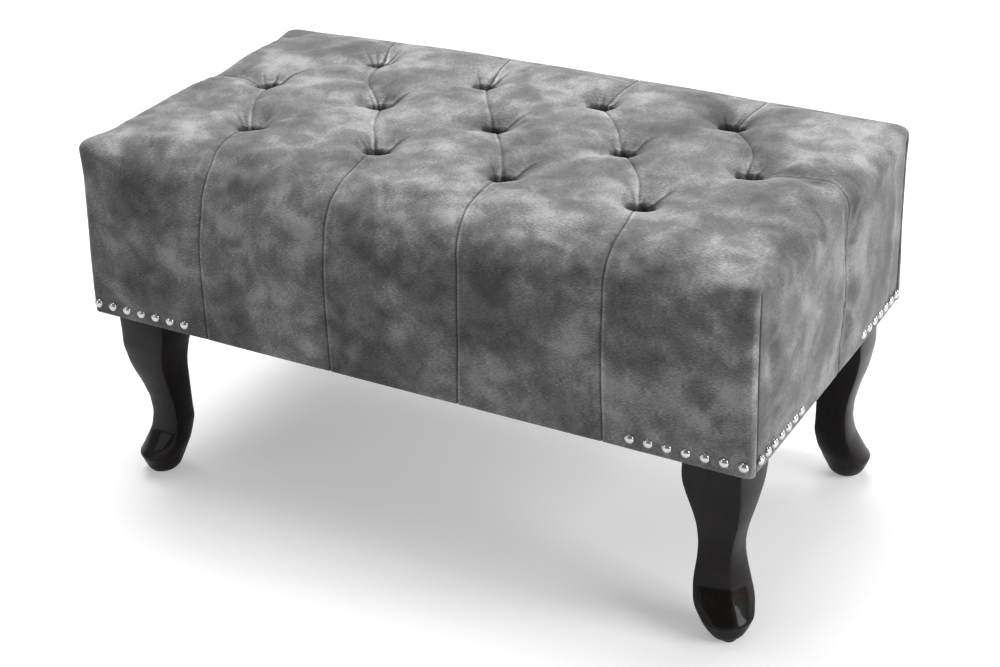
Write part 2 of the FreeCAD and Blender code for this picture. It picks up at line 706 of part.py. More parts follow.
# The deck: plywood stapled to the rails, with a hole under each tuft for the twine.
twine_radius = dims.twine_size / 2
twine_hole = turned([(twine_radius + 1, at.deck_z - 1), (twine_radius + 1, at.foam_z + 1)], 6)


def twine_staples(extra):
    """Staples across the folded ends of the twine, up into the deck."""
    shape = staple(dims.staple_crown, dims.staple_wire, dims.twine_staple_leg, extra)
    upside_down = shape.mirror(Vector(0, 0, 0), Vector(0, 0, 1))
    level = at.deck_z - dims.twine_size - dims.staple_wire
    return [moved(upside_down, x + 0.6 * dims.twine_tail, y, level, 90) for x, y in tufts]


deck_blank = box(
    "deck_blank",
    ("2 * at.rail_x", "2 * at.rail_y", "dims.deck_thick"),
    ("-at.rail_x", "-at.rail_y", "at.deck_z"),
)
deck_holes = feature("deck_holes", Part.makeCompound(
    at_tufts(twine_hole) + twine_staples(gap) + deck_staples(gap)))
piece(cut("seat_deck", deck_blank, deck_holes), "seat_deck")
piece(feature("twine_staples", Part.makeCompound(twine_staples(0))), "twine_staples")

# The foam block: rounded over its upper edge, cored through under each tuft.
soft = dims.seat_gap
foam_blank = feature("foam_blank", rounded_block(
    at.rail_x - soft, at.rail_y - soft, at.foam_z, at.foam_top - soft))
core = turned([(pocket_radius + soft, at.foam_z - 1), (pocket_radius + soft, at.foam_top + 1)], 8)
foam_cores = feature("foam_cores", Part.makeCompound(at_tufts(core)))
piece(cut("foam_block", foam_blank, foam_cores), "foam_block")

# Covered buttons at the bottom of the tufts, each with a stem down through the velvet.
button_radius = dims.button_size / 2
button_rings = [
    (0.9 * button_radius, at.pit_z),
    (button_radius, at.pit_z + 0.4 * dims.button_thick),
    (0.55 * button_radius, at.pit_z + dims.button_thick),
]
stem = turned([(stem_radius, at.pit_z - dims.stem_long), (stem_radius, at.pit_z + 1)], 6)
button = turned(button_rings, 8).fuse(stem)
piece(feature("tuft_buttons", Part.makeCompound(at_tufts(button))), "tuft_buttons")

# Tufting twine: taut from each stem down through the foam and deck, then folded along the underside.
drop = turned([(twine_radius, at.deck_z - dims.twine_size), (twine_radius, at.pit_z - dims.stem_long)], 6)
tail = turned([(twine_radius, 0), (twine_radius, dims.twine_tail)], 6)
tail = moved(tail, 0, 0, at.deck_z - twine_radius, 0, 90)
piece(feature("tufting_twine", Part.makeCompound(at_tufts(drop.fuse(tail)))), "tufting_twine")

# The cover is finished with its holes for nails and staples.
cover_holes = feature("cover_holes", Part.makeCompound(nail_holes + tacks(gap)))
piece(cut("velvet_cover", cover_tufted, cover_holes), "velvet_cover")

# The black cloth under the bench, with holes for the hanger bolts and staples.
dust_blank = box(
    "dust_blank",
    ("2 * (at.rail_x - dims.dust_margin)", "2 * (at.rail_y - dims.dust_margin)", "dims.dust_thick"),
    ("dims.dust_margin - at.rail_x", "dims.dust_margin - at.rail_y", "at.leg_z"),
)
dust_holes = feature("dust_holes", Part.makeCompound(at_legs(bolt_hole) + tacks(gap)))
piece(cut("dust_cover", dust_blank, dust_holes), "dust_cover")

doc.recompute()
for item in doc.Objects:
    if "Invalid" in item.State or "Error" in item.State:
        raise RuntimeError(item.Name + " did not build: " + str(item.State))
for item in pieces:
    if item.Shape.isNull() or not item.Shape.isValid() or not item.Shape.Solids:
        raise RuntimeError(item.Label + " is not a valid solid")

os.makedirs("parts", exist_ok=True)
for item in pieces:
    item.Shape.exportStep("parts/" + item.Label + ".step")
    print(item.Label, len(item.Shape.Solids), "solids", round(item.Shape.Volume / 1000, 1), "cm3")
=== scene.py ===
import math

import bpy
import numpy as np
from mathutils import Matrix, Vector
from mathutils.kdtree import KDTree


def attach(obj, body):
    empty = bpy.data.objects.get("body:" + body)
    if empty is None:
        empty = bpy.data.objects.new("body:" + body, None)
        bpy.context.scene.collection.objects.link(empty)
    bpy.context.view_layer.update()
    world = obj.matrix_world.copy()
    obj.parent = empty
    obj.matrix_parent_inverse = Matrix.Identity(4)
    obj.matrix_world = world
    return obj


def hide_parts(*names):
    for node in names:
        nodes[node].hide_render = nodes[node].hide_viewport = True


# A tufted velvet bench on four cabriole legs. Sizes in the sections are in millimetres and
# become metres where a mesh is made. X runs along the bench, the front faces -Y, Z is up.
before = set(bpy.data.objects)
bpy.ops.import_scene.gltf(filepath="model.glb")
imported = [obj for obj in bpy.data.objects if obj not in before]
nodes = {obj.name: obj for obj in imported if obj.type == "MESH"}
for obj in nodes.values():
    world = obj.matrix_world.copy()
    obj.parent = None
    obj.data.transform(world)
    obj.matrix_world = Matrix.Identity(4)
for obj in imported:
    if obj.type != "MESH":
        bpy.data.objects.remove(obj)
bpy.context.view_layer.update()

# Frame: rails, cross rails and corner blocks of planed softwood, glued and screwed together.
# It is covered on every side, so its grain is plain: pale yellow wood with darker growth rings
# a few millimetres apart, running along the length.


def colour(hex_value):
    """An sRGB hex colour as linear red, green, blue and alpha."""
    parts = np.array([int(hex_value[i:i + 2], 16) / 255 for i in (1, 3, 5)])
    linear = np.where(parts <= 0.04045, parts / 12.92, ((parts + 0.055) / 1.055) ** 2.4)
    return (*linear.tolist(), 1.0)


def add(tree, kind, inputs=(), **settings):
    """Adds a node, sets its properties, and fills its inputs with values or with links from sockets."""
    made = tree.nodes.new(kind)
    for name, value in settings.items():
        setattr(made, name, value)
    for name, value in dict(inputs).items():
        if isinstance(value, bpy.types.NodeSocket):
            tree.links.new(value, made.inputs[name])
        else:
            made.inputs[name].default_value = value
    return made


def finish_of(name):
    """A new material by that name, with its node tree and its shader."""
    made = bpy.data.materials.new(name)
    made.use_nodes = True
    return made, made.node_tree, made.node_tree.nodes["Principled BSDF"]


def ramp(tree, factor, *stops):
    """A colour ramp over a factor; each stop is a position and a hex colour."""
    made = add(tree, "ShaderNodeValToRGB", {"Fac": factor})
    while len(made.color_ramp.elements) < len(stops):
        made.color_ramp.elements.new(0.5)
    for element, (place, hex_value) in zip(made.color_ramp.elements, stops):
        element.position = place
        element.color = colour(hex_value)
    return made.outputs["Color"]


def tint(tree, shader, factor, *stops):
    """Colours a finish by a ramp over a factor."""
    tree.links.new(ramp(tree, factor, *stops), shader.inputs["Base Color"])


def emboss(tree, shader, height, strength, distance):
    """Gives a finish a relief: the height of a pattern, over a distance in metres."""
    relief = add(tree, "ShaderNodeBump", {"Height": height, "Strength": strength, "Distance": distance})
    tree.links.new(relief.outputs["Normal"], shader.inputs["Normal"])


def place_in(tree):
    """The place in the piece, in metres."""
    return add(tree, "ShaderNodeTexCoord").outputs["Object"]


def noise(tree, vector, scale, detail, distortion=0.0, roughness=0.5):
    """Cloudy noise over a vector, from 0 to 1 and 0.5 in the mean."""
    made = add(tree, "ShaderNodeTexNoise", {
        "Vector": vector, "Scale": scale, "Detail": detail, "Roughness": roughness,
        "Distortion": distortion,
    })
    return made.outputs["Fac"]


def paint(names, finish):
    """Gives a finish to CAD nodes by name."""
    for name in names:
        nodes[name].data.materials.clear()
        nodes[name].data.materials.append(finish)


def wood(name, pale, dark, along, ring_mm, roughness):
    """Planed wood: rings across the grain, stretched 14 times along the axis `along`."""
    made, tree, shader = finish_of(name)
    stretch = [1.0, 1.0, 1.0]
    stretch["XYZ".index(along)] = 1 / 14
    grain = add(tree, "ShaderNodeMapping", {"Vector": place_in(tree), "Scale": stretch})
    rings = noise(tree, grain.outputs["Vector"], 1000 / ring_mm, 5.0, roughness=0.6)
    tint(tree, shader, rings, (0.35, pale), (0.62, dark))
    emboss(tree, shader, rings, 0.2, 0.0004)
    shader.inputs["Roughness"].default_value = roughness
    return made


pine = wood("planed_pine", "#d8b98a", "#b48d58", "X", 14, 0.6)
pine_across = wood("planed_pine_across", "#d8b98a", "#b48d58", "Y", 14, 0.6)
corner_blocks = [name for name in nodes
                 if name.startswith("corner_block_") and name != "corner_block_screws"]
paint(["rail_front", "rail_back"] + corner_blocks, pine)
paint(["rail_left", "rail_right", "cross_rail_left", "cross_rail_right"], pine_across)

# Seat deck: a sheet of birch plywood stapled over the rails, drilled for the tufting twine.
# Rotary-cut veneer has wide, faint figure.
paint(["seat_deck"], wood("birch_plywood", "#dcc39c", "#c3a276", "X", 45, 0.55))

# Foam block: open-cell polyurethane foam, sawn and rounded over, pale cream.
# The cells are about a millimetre across and make it dead matt.
foam, tree, shader = finish_of("polyurethane_foam")
cells = add(tree, "ShaderNodeTexVoronoi", {"Vector": place_in(tree), "Scale": 900.0})
tint(tree, shader, cells.outputs["Distance"], (0.0, "#cfc08e"), (0.7, "#ece0b8"))
shader.inputs["Roughness"].default_value = 1.0
paint(["foam_block"], foam)

# Fixings: zinc-plated screws, hanger bolts, tee nuts and staples.
# Zinc plating is a bluish, slightly cloudy satin metal.
zinc, tree, shader = finish_of("zinc_plated_steel")
tint(tree, shader, noise(tree, place_in(tree), 260.0, 3.0), (0.3, "#a9adb2"), (0.7, "#c9ccd0"))
shader.inputs["Metallic"].default_value = 1.0
shader.inputs["Roughness"].default_value = 0.32
paint(["corner_block_screws", "leg_hanger_bolts", "leg_tee_nuts", "deck_staples", "twine_staples",
       "underside_staples"], zinc)

# Tufting twine: waxed linen, laid in two strands, straw-coloured. One length goes from each button
# down through the foam and the deck, and holds the tuft.
twine, tree, shader = finish_of("waxed_linen_twine")
lay = add(tree, "ShaderNodeTexWave", {"Vector": place_in(tree), "Scale": 160.0, "Distortion": 1.0},
          bands_direction="DIAGONAL")
tint(tree, shader, lay.outputs["Fac"], (0.1, "#a89468"), (0.8, "#d9caa2"))
shader.inputs["Roughness"].default_value = 0.7
paint(["tufting_twine"], twine)

# Velvet cover: crushed polyester velvet over wadding, pulled down into thirteen tufts in diamonds.
# The spare cloth is folded into pleats between the tufts and into one upright fold per panel,
# wrapped round the corners, and turned under the frame at the hem.
CELLS = 44  # grid cells from one tuft to the next
HALF_X, HALF_Y, TOP, HEM = 400.0, 210.0, 430.0, 220.4
STEP, FRONT_ROW, MIDDLE_ROW, BACK_ROW = 80.0, -93.0, 16.0, 125.0
CORNER_FOLD = 199.0  # where the upright folds of the corners lie on the ends
EDGE, END_EDGE = 45.0, 11.0  # radii of the upper edges: along the front, and along the other sides
END_SPREAD = 16.0  # how much wider the edge of an end is at its middle
CORNER, HEM_CORNER = 14.0, 7.0  # radii of the upright corners: half-way up, and at the hem


def evenly(start, stop, cells):
    """Even steps from start on, without stop itself."""
    return np.linspace(start, stop, cells, endpoint=False)


def box_grid(cells):
    """An open box as one grid: the top by columns and rows, then level rings down the sides.

    Returns the corners on the sharp box, how far each lies down a side, the faces, and the rings
    as an array of vertex numbers, with the rim of the top as its first row.
    """
    xs = np.linspace(-HALF_X, HALF_X, 10 * cells + 1)
    ys = np.concatenate([
        evenly(-HALF_Y, FRONT_ROW, round(1.07 * cells)), evenly(FRONT_ROW, MIDDLE_ROW, cells),
        evenly(MIDDLE_ROW, BACK_ROW, cells), np.linspace(BACK_ROW, HALF_Y, round(0.78 * cells) + 1),
    ])
    downs = np.linspace(0, TOP - HEM, round(1.5 * cells) + 1)
    nx, ny, nz = len(xs), len(ys), len(downs)
    number = np.arange(nx * ny).reshape(nx, ny)
    rim = np.concatenate([number[:-1, 0], number[-1, :-1], number[:0:-1, -1], number[0, :0:-1]])
    rings = np.vstack([rim, nx * ny + np.arange((nz - 1) * len(rim)).reshape(nz - 1, -1)])
    flat = np.stack(np.meshgrid(xs, ys, indexing="ij"), axis=-1).reshape(-1, 2)
    plan = np.vstack([flat, np.tile(flat[rim], (nz - 1, 1))])
    down = np.concatenate([np.zeros(nx * ny), np.repeat(downs[1:], len(rim))])
    upper = [number[:-1, :-1], number[1:, :-1], number[1:, 1:], number[:-1, 1:]]
    after = np.roll(rings, -1, axis=1)
    lower = [rings[:-1], rings[1:], after[1:], after[:-1]]
    faces = np.vstack([np.stack([part.ravel() for part in group], axis=1) for group in (upper, lower)])
    return plan, down, faces, rings


def bumps(points, centres, values, reach):
    """A smooth field through given values.

    One Gaussian bump of that reach stands on each centre, and their heights are solved together.
    """
    def kernel(a, b):
        return np.exp(-((a[:, None, :] - b[None, :, :]) ** 2).sum(-1) / (2 * reach ** 2))
    return kernel(points, centres) @ np.linalg.solve(kernel(centres, centres), values)


# By hand, no two tufts come out alike: how far each tuft and seam strays from its even place.
# Each row is a place on the sharp box (x, y, height) and the shift there along x and along y. The
# tufts come first.
TUFTS = 13
STRAYS = np.array(
    [(-240, FRONT_ROW, TOP, -8, 6), (-80, FRONT_ROW, TOP, -7, 9), (80, FRONT_ROW, TOP, -11, 4)]
    + [(240, FRONT_ROW, TOP, -14, 2), (-320, MIDDLE_ROW, TOP, 13, 12), (-160, MIDDLE_ROW, TOP, 8, 9)]
    + [(0, MIDDLE_ROW, TOP, -2, 5), (160, MIDDLE_ROW, TOP, -8, 5), (320, MIDDLE_ROW, TOP, -25, 4)]
    + [(-240, BACK_ROW, TOP, 15, 12), (-80, BACK_ROW, TOP, 5, 1), (80, BACK_ROW, TOP, -7, 0)]
    + [(240, BACK_ROW, TOP, -13, 6)]
    + [(x, -HALF_Y, 225, dx, 0) for x, dx in ((-240, -1), (-80, 0), (80, -4), (240, 1))]
    + [(x, -HALF_Y, 385, dx, 0) for x, dx in ((-240, 12), (-80, 7), (80, 3), (240, 3))]
    + [(x, -196, TOP, dx, 0) for x, dx in ((-240, 14), (-80, 10), (80, 0), (240, 2))]
    + [(x, -142, TOP, dx, 0) for x, dx in ((-240, -3), (-80, 3), (80, -8), (240, -5))]
    + [(x, HALF_Y, 400, dx, 0) for x, dx in ((-240, -2), (-80, -3), (80, 5), (240, -1))]
    + [(372, MIDDLE_ROW, TOP, 0, 15), (HALF_X, MIDDLE_ROW, 400, 0, 9), (HALF_X, MIDDLE_ROW, 310, 0, 13)]
    + [(HALF_X, MIDDLE_ROW, 225, 0, 3), (-372, MIDDLE_ROW, TOP, 0, 16), (-HALF_X, MIDDLE_ROW, 400, 0, 14)]
    + [(-HALF_X, MIDDLE_ROW, 300, 0, 5)]
    + [(x, y, z, 0, 0) for x in (-HALF_X, HALF_X) for y in (-HALF_Y, HALF_Y) for z in (230, 330, TOP)],
    dtype=float)

# The filling has settled more at the back corners and the left end: x, y and how far the top is down.
SETTLED = np.array([(-400, 210, -8), (-400, 90, -2), (-400, -40, -2), (-390, -200, 0), (400, 210, -2),
                    (395, -200, -2), (400, 0, 0), (0, 0, 0), (0, 200, 0), (0, -200, 0), (200, 0, 0),
                    (-200, 0, 0)], dtype=float)


def ease(value, start, stop):
    """0 before start, 1 after stop, and s * s * (3 - 2 * s) between, with s the share of the way."""
    share = np.clip((value - start) / (stop - start), 0, 1)
    return share * share * (3 - 2 * share)


def drawn_back(z, radius):
    """How far a rounded upper edge of that radius stands in from its face at height z.

    It is r - sqrt(r^2 - h^2), with h the height above the level where the rounding starts.
    """
    above = np.clip(z - TOP + radius, 0, radius)
    return radius - np.sqrt(radius ** 2 - above ** 2)


def outline_gap(x, y, z):
    """How far a point lies outside the level outline at its height.

    The outline is a rectangle with rounded corners. Its front is drawn in by the wide edge, its ends
    by a narrower one, both less towards the corners, and its back by the narrowest.
    """
    front_edge = EDGE + (END_EDGE - EDGE) * ease(np.abs(x), 300, 398)
    end_edge = END_EDGE + END_SPREAD * ease(HALF_Y - np.abs(y), 5, 60)
    inset = drawn_back(z, END_EDGE)
    # The upright corners are sharp at the hem, fullest from 330 to 380 up, and tighter again on top.
    radius = HEM_CORNER + (CORNER - HEM_CORNER) * ease(z, 225, 330) * (1 - 0.6 * ease(z, 380, 425))
    radius += 0.3 * inset
    side_x = np.abs(x) - (HALF_X - drawn_back(z, end_edge)) + radius
    side_y = np.where(y < 0, drawn_back(z, front_edge) - y, inset + y) - HALF_Y + radius
    outside = np.hypot(np.maximum(side_x, 0), np.maximum(side_y, 0))
    return outside + np.minimum(np.maximum(side_x, side_y), 0) - radius


def rounded(sharp):
    """Carries points of the sharp box to the rounded one, along rays from an inner box, by bisection."""
    low = np.array([EDGE - HALF_X, EDGE - HALF_Y, -np.inf])
    inner = np.clip(sharp, low, [HALF_X - EDGE, HALF_Y - EDGE, TOP - EDGE])
    ray = sharp - inner
    ray /= np.linalg.norm(ray, axis=1, keepdims=True)
    near, far = np.zeros(len(sharp)), np.full(len(sharp), 2 * EDGE)
    for _ in range(32):
        middle = (near + far) / 2
        x, y, z = (inner + ray * middle[:, None]).T
        out = (outline_gap(x, y, z) > 0) | (z > TOP)
        near, far = np.where(out, near, middle), np.where(out, middle, far)
    return inner + ray * near[:, None]


def vertex_normals(points, faces):
    """Each vertex's normal: the sum of its faces' normals, each the cross product of the diagonals."""
    a, b, c, d = (points[faces[:, i]] for i in range(4))
    face_normals = np.cross(c - a, d - b)
    total = np.zeros_like(points)
    for i in range(4):
        for axis in range(3):
            total[:, axis] += np.bincount(faces[:, i], face_normals[:, axis], len(points))
    return total / np.maximum(np.linalg.norm(total, axis=1, keepdims=True), 1e-12)


def folds(plan, down):
    """Every fold of the cloth near each vertex.

    Returns rows of (signed distance from the fold in mm, its weight there, nearness to a tuft from 0
    to 1, kind, direction across it in the plane). Kinds: 0 a crisp pleat, 1 a soft valley, 2 a seam.
    Columns a and rows b are counted from the middle: tufts stand where a + b is even.
    """
    a, b = plan[:, 0] / STEP, (plan[:, 1] - MIDDLE_ROW) / (BACK_ROW - MIDDLE_ROW)
    depth = BACK_ROW - MIDDLE_ROW
    width = STEP * depth / math.hypot(STEP, depth)
    across = np.array([depth, STEP]) / math.hypot(STEP, depth)
    # Between the outer tufts the folds cross in diamonds; beyond them seams run straight over the edges.
    between = (1 - ease(np.abs(b), 0.97, 1.03)) * (1 - ease(np.abs(a), 3.97, 4.03)) * (down == 0)
    near_tuft = np.abs(2 * np.abs(b) - 1)
    rows = []
    for kind, sign in ((0, 1), (1, -1)):
        line = a + sign * b
        gap = (line - 2 * np.round(line / 2)) * width
        rows.append((gap, between, near_tuft, kind, across * [1, sign]))
    odd = np.clip(2 * np.round((a - 1) / 2) + 1, -3, 3)
    over = ease(np.abs(b), 0.97, 1.03) * (np.abs(plan[:, 0]) < HALF_X - 1e-6)
    from_tuft = (np.abs(b) - 1) * depth + down
    rows.append(((a - odd) * STEP, over, np.exp(-from_tuft / 18), 2, np.array([1.0, 0.0])))
    ends = ease(np.abs(a), 3.97, 4.03)
    from_tuft = (np.abs(a) - 4) * STEP + down
    rows.append((plan[:, 1] - MIDDLE_ROW, ends, np.exp(-from_tuft / 18), 2, np.array([0.0, 1.0])))
    return rows


def drawn_in(plan, down, strength=0.65, reach=5.0):
    """Crowds the grid lines together on the folds and on the walls of the tufts, to make both crisp.

    A line at a gap g from a fold moves towards it by strength * g * exp(-(g / reach)^2).
    """
    moved = plan.copy()
    for gap, weight, _, kind, across in folds(plan, down):
        if kind != 1:
            pull = weight * gap * strength * np.exp(-(gap / reach) ** 2)
            moved -= pull[:, None] * across
    wall = 13.0  # radius of the wall of a tuft's pit
    for x, y in STRAYS[:TUFTS, :2]:
        away = moved - [x, y]
        out = np.maximum(np.hypot(*away.T), 0.1)
        pull = 0.6 * (wall - out) * np.exp(-((out - wall) / 7) ** 2) * (down == 0)
        moved += away * (pull / out)[:, None]
    on_end = (np.abs(plan[:, 0]) > HALF_X - 1e-6) * ease(down, 0, 15)
    aside = np.abs(plan[:, 1]) - CORNER_FOLD
    moved[:, 1] -= np.sign(plan[:, 1]) * on_end * 0.7 * aside * np.exp(-(aside / 5) ** 2)
    return moved


def laid_out(plan, down):
    """The cloth over the rounded box, with its folds astray and the filling settled."""
    sharp = np.column_stack([plan, TOP - down])
    stray = bumps(sharp, STRAYS[:, :3], STRAYS[:, 3:], 32.0)
    sharp[:, :2] = np.clip(sharp[:, :2] + stray, [-HALF_X, -HALF_Y], [HALF_X, HALF_Y])
    skin = rounded(sharp)
    high = ease(skin[:, 2], 330, 425)
    skin[:, 2] += bumps(plan, SETTLED[:, :2], SETTLED[:, 2], 110.0) * high
    # The left end sags at its seam, and its front corner leans in at the top.
    skin[:, 2] -= 6.5 * high * np.exp(-((skin[:, 0] + 400) / 60) ** 2 - ((skin[:, 1] - 45) / 40) ** 2)
    lean = np.exp(-((skin[:, 0] + 400) / 70) ** 2 - ((skin[:, 1] + 210) / 70) ** 2)
    skin[:, 0] += 7 * lean * ease(skin[:, 2], 280, 425)
    return skin


def mesh_piece(name, points, faces):
    """A new smooth-shaded object from arrays of points, in metres, and faces."""
    mesh = bpy.data.meshes.new(name)
    mesh.from_pydata(points.tolist(), [], faces.tolist() if hasattr(faces, "tolist") else faces)
    mesh.polygons.foreach_set("use_smooth", np.ones(len(mesh.polygons), dtype=bool))
    mesh.update()
    piece = bpy.data.objects.new(name, mesh)
    bpy.context.scene.collection.objects.link(piece)
    return piece


def swollen(cells, most=4.0, least=1.5):
    """Where the filling pushes a coarse copy of the cloth, by a cloth simulation.

    It is held at the hem, the folds, the tufts, the corners and, less, the rims. Returns points of
    the sharp box and the move of each along its normal, which levels off at most outward and at
    least inward.
    """
    plan, down, faces, rings = box_grid(cells)
    start = laid_out(plan, down)
    trial = mesh_piece("cloth_trial", start * 0.001, faces)
    held = np.clip((down - (TOP - HEM) + 14) / 8, 0, 1)
    for gap, weight, near_tuft, kind, _ in folds(plan, down):
        hold = weight * (1 - ease(np.abs(gap), 2, 8)) * (near_tuft ** 3 if kind == 1 else 1)
        held = np.maximum(held, hold)
    for x, y in STRAYS[:TUFTS, :2]:
        held = np.maximum(held, (1 - ease(np.hypot(*(plan - [x, y]).T), 12, 20)) * (down == 0))
    from_corner = np.maximum(HALF_X - np.abs(plan[:, 0]), HALF_Y - np.abs(plan[:, 1]))
    held = np.maximum(held, 1 - ease(from_corner, 18, 50))
    from_rim = np.minimum(HALF_X - np.abs(plan[:, 0]), HALF_Y - plan[:, 1]) + down
    held = np.maximum(held, 0.75 * (1 - ease(from_rim, 8, 20)))
    pins = trial.vertex_groups.new(name="held")
    for share in (0.25, 0.5, 0.75, 1.0):
        chosen = np.nonzero(np.round(held * 4) / 4 == share)[0]
        pins.add(chosen.tolist(), share, "REPLACE")
    cloth = trial.modifiers.new("cloth", "CLOTH")
    cloth.settings.quality = 5
    cloth.settings.vertex_group_mass = "held"
    cloth.settings.use_pressure = True
    cloth.settings.uniform_pressure_force = 4.0
    cloth.settings.shrink_min = -0.025
    cloth.settings.bending_stiffness = 0.3
    cloth.settings.effector_weights.gravity = 0.0
    cloth.collision_settings.use_collision = False
    for frame_number in range(1, 21):
        bpy.context.scene.frame_set(frame_number)
    after = trial.evaluated_get(bpy.context.evaluated_depsgraph_get())
    found = np.empty(3 * len(start))
    after.data.vertices.foreach_get("co", found)
    move = found.reshape(-1, 3) * 1000 - start
    outward = vertex_normals(start, faces)
    rise = (move * outward).sum(1, keepdims=True)
    limit = np.where(rise > 0, most, least)
    rise = limit * np.tanh(rise / limit)
    move = outward * rise * (1 - ease(down, TOP - HEM - 30, TOP - HEM))[:, None]
    bpy.data.objects.remove(trial)
    bpy.context.scene.frame_set(1)
    return np.column_stack([plan, TOP - down]), move


def carried(points, centres, values, near=12, reach=5.0):
    """Values at centres, carried to points.

    Each is the mean of the nearest centres, weighed by exp(-(distance / reach)^2).
    """
    tree = KDTree(len(centres))
    for number, centre in enumerate(centres.tolist()):
        tree.insert(centre, number)
    tree.balance()
    found = [tree.find_n(point, near) for point in points.tolist()]
    order = np.array([[hit[1] for hit in hits] for hits in found])
    distance = np.array([[hit[2] for hit in hits] for hits in found])
    weigh = np.exp(-(distance / reach) ** 2) + 1e-9
    return (values[order] * (weigh / weigh.sum(1, keepdims=True))[:, :, None]).sum(1)


plan, down, faces, rings = box_grid(CELLS)
gathered = drawn_in(plan, down)
skin = laid_out(gathered, down)
centres, move = swollen(CELLS // 2)
skin += carried(np.column_stack([gathered, TOP - down]), centres, move)
# Part of what the crowns gained is taken back, so that the bench keeps its height.
skin[:, 2] -= 1.5 * ease(skin[:, 2], 380, 425)
normals = vertex_normals(skin, faces)

# Depth of the folds below the crowns, in mm, and how much lighter or darker the cloth is painted there.
# A fold is a broad hollow that dies out over its reach, with a narrow groove along it and a slight
# roll beside the groove. Pleats and valleys are deepest near the tufts. Along pleats and seams the
# groove is darkened with painted shade and the roll is lightened with a painted highlight.
depth = np.zeros(len(plan))
painted_light = np.zeros(len(plan))
for gap, weight, near_tuft, kind, across in folds(gathered, down):
    if kind == 0:
        broad, narrow, reach = 1.5 + 6 * near_tuft ** 3, 2.0, 12.0
    elif kind == 1:
        broad, narrow, reach = 0.8 + 6 * near_tuft ** 2.5, 1.0 * near_tuft ** 2, 13.0
    else:
        broad, narrow, reach = 0.5 + 5 * near_tuft, 1.6, 13.0
    side = -1 if kind == 2 else 1  # the side of the fold where its shadow falls
    groove = np.exp(-((gap * side - 0.5) / 0.8) ** 2)
    roll = np.exp(-((gap * side + 1.6) / 1.2) ** 2)
    crease = broad * np.exp(-np.abs(gap) / reach) + narrow * groove
    if kind != 1:
        crease -= 0.4 * roll
        # Painted highlight on the roll and painted shade in the groove, stronger near the tufts on pleats.
        strong = 0.4 + 0.8 * near_tuft if kind == 0 else 0.8
        painted_light += weight * strong * (1.5 * roll - 1.6 * groove)
    depth = np.where(weight > 0, np.cbrt(depth ** 3 + (weight * np.maximum(crease, 0)) ** 3), depth)

# Gathers round the tufts: the tuft's number, then each gather's bearing in degrees and length. They
# bend a little to one side, and the long ones are the broader. Each is darkened with painted shade in
# its groove and lightened with a painted highlight beside it.
GATHERS = [
    (0, ((140, 26), (158, 24), (66, 20))),
    (1, ((128, 24), (146, 26), (164, 22), (64, 34))),
    (2, ((118, 18), (148, 20), (62, 40))),
    (3, ((112, 16), (136, 20), (64, 34))),
    (4, ((62, 46), (104, 20), (140, 18))),
    (5, ((66, 36), (112, 18), (150, 16))),
    (6, ((66, 38), (132, 16))),
    (7, ((68, 34), (120, 20), (152, 14))),
    (8, ((84, 18), (124, 16), (30, 22))),
    (9, ((48, 24), (70, 28), (90, 30), (110, 30), (130, 28), (152, 24))),
    (10, ((82, 34), (100, 32), (140, 16))),
    (11, ((72, 18), (110, 20))),
    (12, ((64, 16), (96, 18), (136, 18))),
]
tufts = STRAYS[:TUFTS, :2] + STRAYS[:TUFTS, 3:]
for number, gathers in GATHERS:
    away = skin[:, :2] - tufts[number]
    reach = np.hypot(*away.T)
    close = (reach < 80) & (down == 0)
    for bearing, length in gathers:
        toward = np.array([math.cos(math.radians(bearing)), math.sin(math.radians(bearing))])
        aside = away @ [-toward[1], toward[0]] + 0.003 * reach ** 2
        wide = 1.5 if length < 32 else 2.6
        fade = close * (away @ toward > 0) * ease(reach, 10, 14)
        fade *= 1 - ease(reach, 14 + 0.3 * length, 15 + length)
        groove = np.exp(-(aside / wide) ** 2)
        lit = np.exp(-((aside - 1.8 * wide) / wide) ** 2)
        depth += wide * fade * groove
        # Painted highlight beside the gather and painted shade in its groove.
        painted_light += fade * (0.8 * lit - 1.2 * groove)

# The tufts: a steep pit with the button at its bottom, in a funnel that runs out further behind.
# The pit, and the funnel behind it, are darkened with painted shade.
PIT_DEPTH, PIT_FLOOR, PIT_RIM = 25.5, 11.4, 14.4  # depth, and radii of the floor and the rim
FUNNEL_DEPTH, FUNNEL_REACH = 10.0, 11.0
for x, y in tufts:
    away = skin[:, :2] - [x, y]
    reach = np.hypot(*away.T)
    cup = PIT_DEPTH * (1 - ease(reach, PIT_FLOOR, PIT_RIM))
    lopsided = np.hypot(away[:, 0], away[:, 1] * np.where(away[:, 1] < 0, 1.4, 0.62))
    funnel = FUNNEL_DEPTH * np.exp(-np.maximum(lopsided - 13, 0) / FUNNEL_REACH)
    depth = np.cbrt(depth ** 3 + ((cup + funnel) * (down == 0)) ** 3)
    # Painted shade in the pit, and on the funnel behind it.
    painted_light -= 1.6 * (1 - ease(reach, 11, 16)) * (down == 0)
    behind = ease((away @ [0.45, 0.89]) / np.maximum(reach, 1), 0.1, 1.0) * (down == 0)
    painted_light -= behind * np.exp(-np.maximum(reach - 12, 0) / 10)

# The upright folds at the corners, on the end faces: the cloth of the front laps over that of the
# end. A painted highlight makes a lighter strip before the fold, and painted shade darkens the fold
# and the cloth behind it.
on_end = (np.abs(plan[:, 0]) > HALF_X - 1e-6) & (down > 0)
gap = CORNER_FOLD - np.abs(skin[:, 1])
fade = on_end * ease(down, 6, 20)
groove = 3.0 * np.exp(-(gap - 0.4) ** 2)
hollow = 1.6 * ease(gap, -0.5, 1) * np.exp(-np.maximum(gap, 0) / 25)
depth += fade * (groove + hollow)
# Painted highlight before the fold, painted shade in it and behind it.
painted_light += fade * (1.7 * np.exp(-((gap + 4) / 3.4) ** 2) - 2.4 * np.exp(-((gap - 0.5) / 1.8) ** 2))
painted_light -= fade * 0.7 * ease(gap, 0, 1) * np.exp(-np.maximum(gap, 0) / 12)
skin -= normals * depth[:, None]

